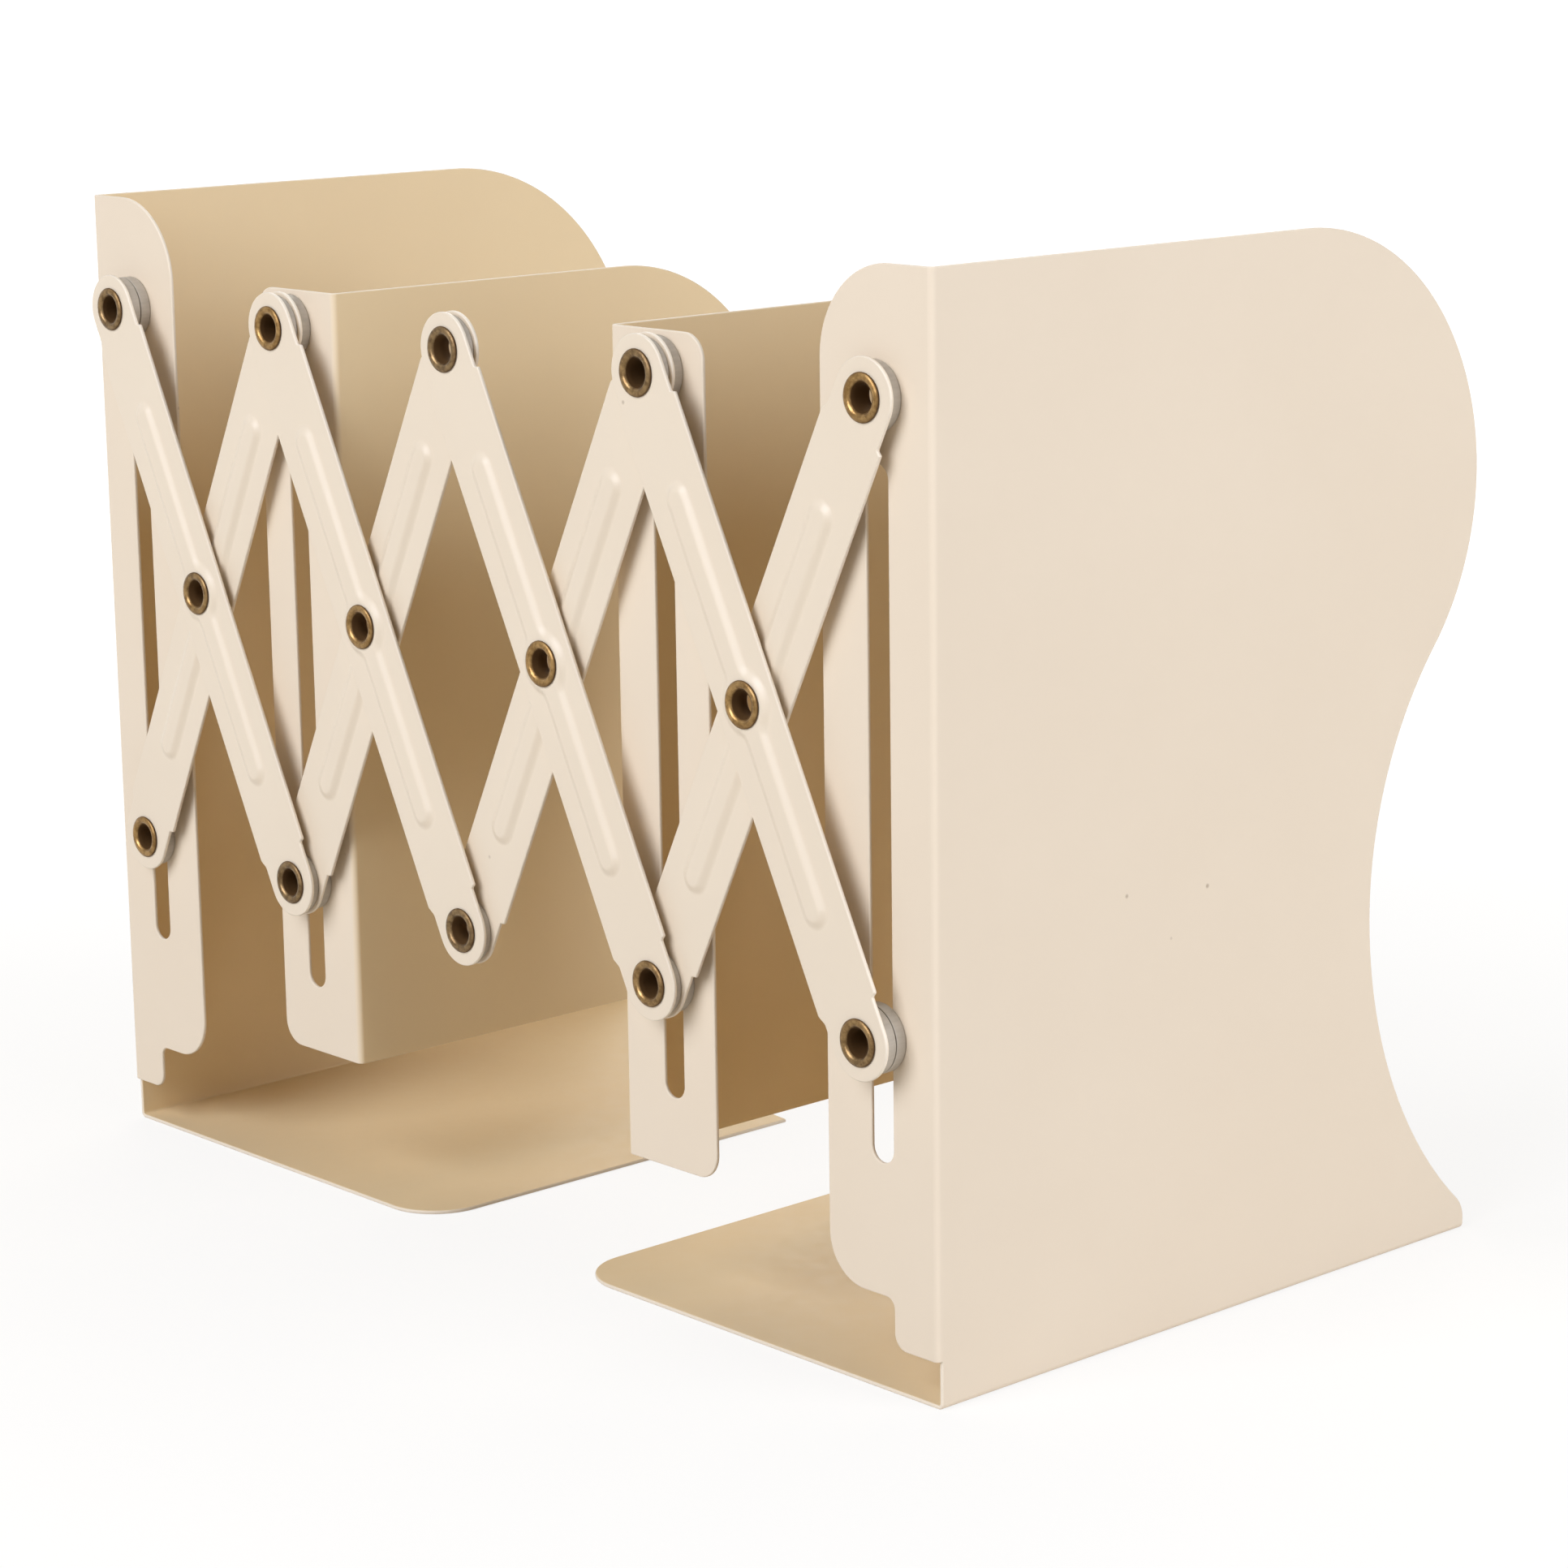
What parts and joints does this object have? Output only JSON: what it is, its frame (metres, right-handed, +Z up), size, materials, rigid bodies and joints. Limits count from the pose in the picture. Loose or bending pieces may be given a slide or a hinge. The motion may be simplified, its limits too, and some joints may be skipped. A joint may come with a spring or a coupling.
{
  "type": "expandable bookend",
  "caption": "Expandable steel bookend: bent end plates and dividers joined by a scissor lattice of stamped bars on brass eyelets, which slides wider or narrower to hold a row of books.",
  "frame": {"origin": "middle of the stand's footprint, on the surface that it stands on", "axes": "+Z up; X along the row of books, from the left end plate to the right one; -Y towards the front, where the lattice is"},
  "size_m": [0.2498, 0.152, 0.2],
  "materials": {
    "cream_plate": "fine matt powder coat, warm cream",
    "cream_bar": "satin powder coat, warm cream",
    "aged_brass": "rolled and slightly tarnished",
    "grey_plastic": "translucent grey, faintly streaked"
  },
  "bodies": {
    "left_end": {"left_end_plate": "cream_plate", "top_eyelet_1": "aged_brass", "top_spacer_1_front": "grey_plastic", "top_spacer_1_rear": "grey_plastic"},
    "front_bar_1": {"front_bar_1": "cream_bar", "middle_eyelet_1": "aged_brass", "middle_bar_washer_1": "grey_plastic", "bottom_eyelet_2": "aged_brass", "bottom_bar_washer_2": "grey_plastic"},
    "front_bar_2": {"front_bar_2": "cream_bar", "top_eyelet_2": "aged_brass", "top_bar_washer_2": "grey_plastic", "middle_eyelet_2": "aged_brass", "middle_bar_washer_2": "grey_plastic", "bottom_eyelet_3": "aged_brass", "bottom_bar_washer_3": "grey_plastic"},
    "front_bar_3": {"front_bar_3": "cream_bar", "top_eyelet_3": "aged_brass", "top_bar_washer_3": "grey_plastic", "middle_eyelet_3": "aged_brass", "middle_bar_washer_3": "grey_plastic", "bottom_eyelet_4": "aged_brass", "bottom_bar_washer_4": "grey_plastic"},
    "front_bar_4": {"front_bar_4": "cream_bar", "top_eyelet_4": "aged_brass", "top_bar_washer_4": "grey_plastic", "middle_eyelet_4": "aged_brass", "middle_bar_washer_4": "grey_plastic", "bottom_eyelet_5": "aged_brass", "bottom_spacer_5_front": "grey_plastic", "bottom_spacer_5_rear": "grey_plastic"},
    "back_bar_1": {"back_bar_1": "cream_bar", "top_flange_washer_2": "grey_plastic", "bottom_eyelet_1": "aged_brass", "bottom_flange_washer_1": "grey_plastic"},
    "back_bar_2": {"back_bar_2": "cream_bar", "bottom_flange_washer_2": "grey_plastic"},
    "back_bar_3": {"back_bar_3": "cream_bar", "top_flange_washer_4": "grey_plastic"},
    "back_bar_4": {"back_bar_4": "cream_bar", "top_eyelet_5": "aged_brass", "top_flange_washer_5": "grey_plastic", "bottom_flange_washer_4": "grey_plastic"},
    "divider_left": {"divider_left": "cream_plate"},
    "divider_right": {"divider_right": "cream_plate"},
    "right_end": {"right_end_plate": "cream_plate"}
  },
  "joints": [
    {"name": "expand", "type": "hinge", "parent": "left_end", "child": "front_bar_1", "pos_m": [-0.1114, -0.07418, 0.1776], "axis": [0, -1, 0], "range_deg": [-5.5, 56.7]},
    {"name": "back_bar_1_cross", "type": "hinge", "parent": "front_bar_1", "child": "back_bar_1", "pos_m": [-0.08355, -0.07218, 0.12165], "axis": [0, -1, 0], "range_deg": [-113.4, 11]},
    {"name": "front_bar_2_top", "type": "hinge", "parent": "back_bar_1", "child": "front_bar_2", "pos_m": [-0.0557, -0.07218, 0.1776], "axis": [0, -1, 0], "range_deg": [-11, 113.4]},
    {"name": "back_bar_2_cross", "type": "hinge", "parent": "front_bar_2", "child": "back_bar_2", "pos_m": [-0.02785, -0.07218, 0.12165], "axis": [0, -1, 0], "range_deg": [-113.4, 11]},
    {"name": "front_bar_3_top", "type": "hinge", "parent": "back_bar_2", "child": "front_bar_3", "pos_m": [0, -0.07218, 0.1776], "axis": [0, -1, 0], "range_deg": [-11, 113.4]},
    {"name": "back_bar_3_cross", "type": "hinge", "parent": "front_bar_3", "child": "back_bar_3", "pos_m": [0.02785, -0.07218, 0.12165], "axis": [0, -1, 0], "range_deg": [-113.4, 11]},
    {"name": "front_bar_4_top", "type": "hinge", "parent": "back_bar_3", "child": "front_bar_4", "pos_m": [0.0557, -0.07218, 0.1776], "axis": [0, -1, 0], "range_deg": [-11, 113.4]},
    {"name": "back_bar_4_cross", "type": "hinge", "parent": "front_bar_4", "child": "back_bar_4", "pos_m": [0.08355, -0.07218, 0.12165], "axis": [0, -1, 0], "range_deg": [-113.4, 11]},
    {"name": "divider_left_pivot", "type": "hinge", "parent": "back_bar_1", "child": "divider_left", "pos_m": [-0.0557, -0.06997, 0.1776], "axis": [0, -1, 0], "range_deg": [-5.5, 56.7]},
    {"name": "divider_right_pivot", "type": "hinge", "parent": "back_bar_3", "child": "divider_right", "pos_m": [0.0557, -0.06997, 0.1776], "axis": [0, -1, 0], "range_deg": [-5.5, 56.7]},
    {"name": "right_end_pivot", "type": "hinge", "parent": "back_bar_4", "child": "right_end", "pos_m": [0.1114, -0.06997, 0.1776], "axis": [0, -1, 0], "range_deg": [-5.5, 56.7]}
  ],
  "couplings": [
    {"joint": "back_bar_1_cross", "follows": "expand", "ratio": -2},
    {"joint": "front_bar_2_top", "follows": "expand", "ratio": 2},
    {"joint": "back_bar_2_cross", "follows": "expand", "ratio": -2},
    {"joint": "front_bar_3_top", "follows": "expand", "ratio": 2},
    {"joint": "back_bar_3_cross", "follows": "expand", "ratio": -2},
    {"joint": "front_bar_4_top", "follows": "expand", "ratio": 2},
    {"joint": "back_bar_4_cross", "follows": "expand", "ratio": -2},
    {"joint": "divider_left_pivot", "follows": "expand", "ratio": 1},
    {"joint": "divider_right_pivot", "follows": "expand", "ratio": 1},
    {"joint": "right_end_pivot", "follows": "expand", "ratio": 1}
  ]
}
